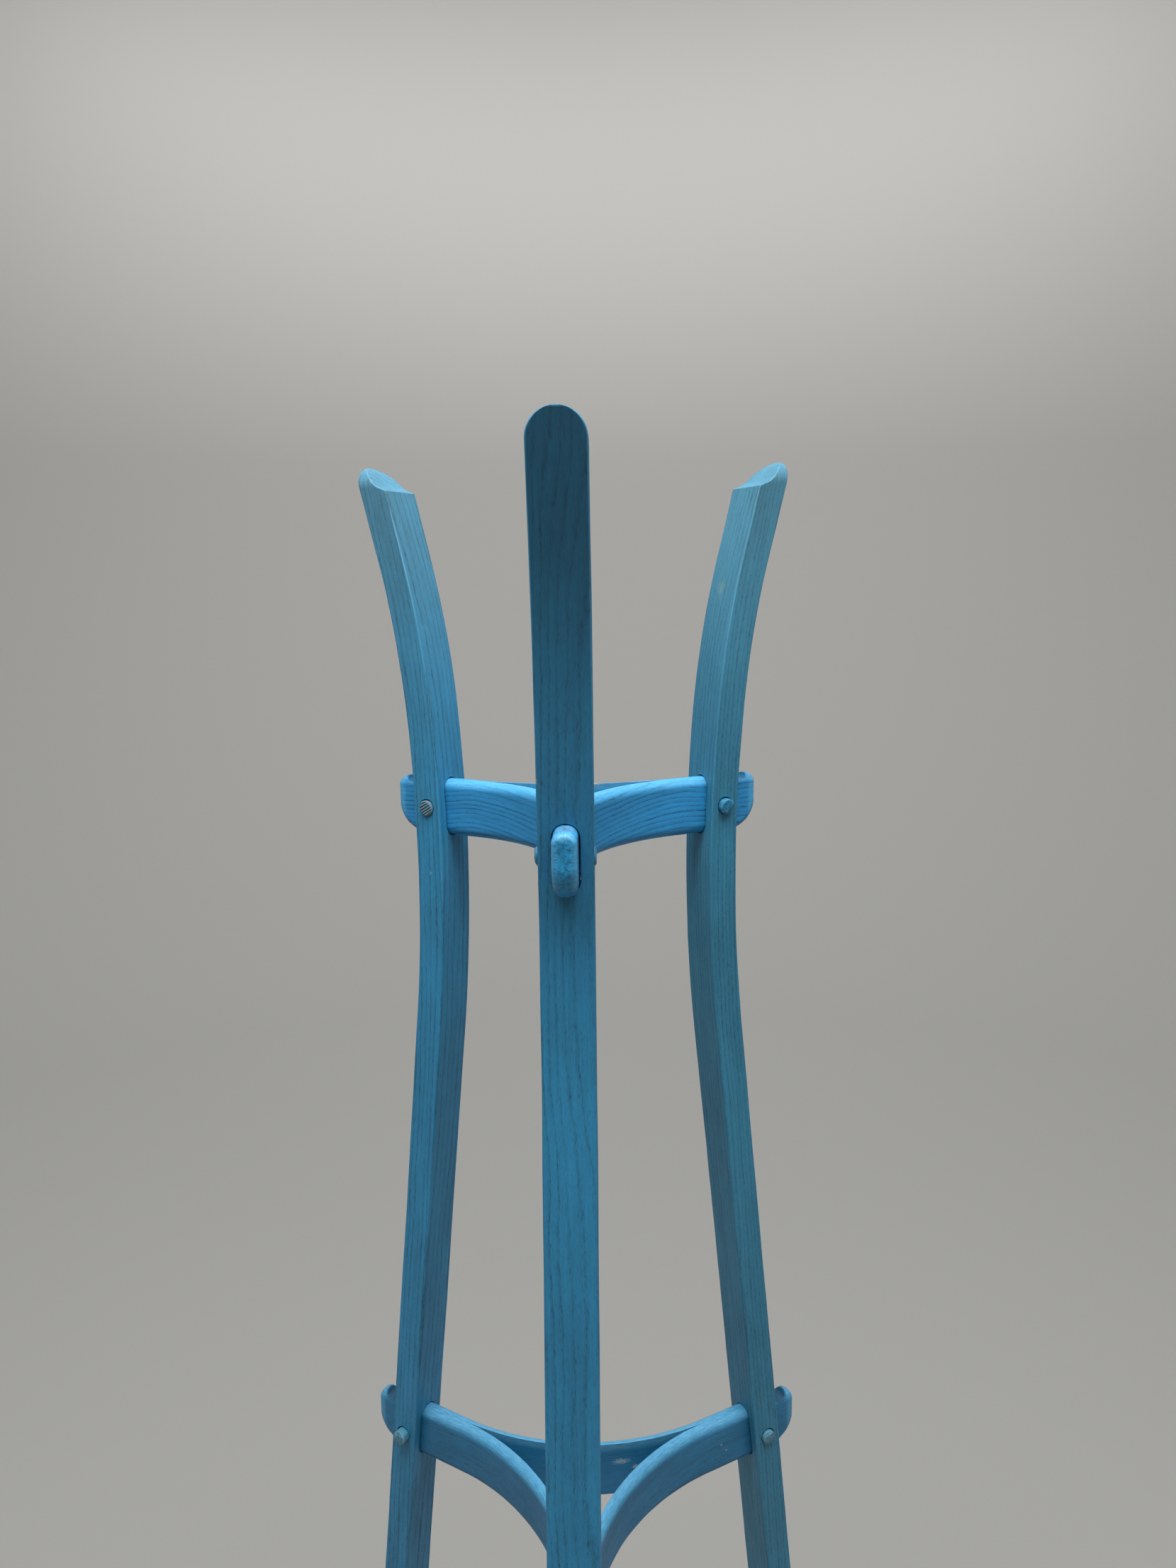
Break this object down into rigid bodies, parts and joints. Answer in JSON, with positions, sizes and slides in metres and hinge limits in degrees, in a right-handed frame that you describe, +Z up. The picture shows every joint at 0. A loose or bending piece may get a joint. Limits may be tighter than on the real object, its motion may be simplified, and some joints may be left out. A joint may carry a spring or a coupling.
{
  "type": "coat stand",
  "caption": "Free-standing wooden coat stand: three bent posts with rounded dished tips, tied by two tiers of curved rail strips that pass through the posts as short pegged hooks.",
  "frame": {"origin": "on the stand's vertical axis at floor level, midway between the three posts", "axes": "+Z up along the stand's axis; the front post stands towards -Y, the right post at 30 degrees and the left post at 150 degrees from +X"},
  "size_m": [0.5692, 0.4935, 1.7992],
  "materials": {
    "stained_post": "open-grained ash, blue stain, satin",
    "stained_rail": "bent ash strip, blue stain, satin",
    "peg_wood": "whittled peg, worn blue stain, rough end grain"
  },
  "bodies": {
    "root": {"front_post": "stained_post", "right_post": "stained_post", "left_post": "stained_post", "upper_front_right_rail": "stained_rail", "upper_back_rail": "stained_rail", "upper_front_left_rail": "stained_rail", "lower_front_right_rail": "stained_rail", "lower_back_rail": "stained_rail", "lower_front_left_rail": "stained_rail", "upper_front_peg": "peg_wood", "upper_right_peg": "peg_wood", "upper_left_peg": "peg_wood", "lower_front_peg": "peg_wood", "lower_right_peg": "peg_wood", "lower_left_peg": "peg_wood"}
  },
  "joints": []
}
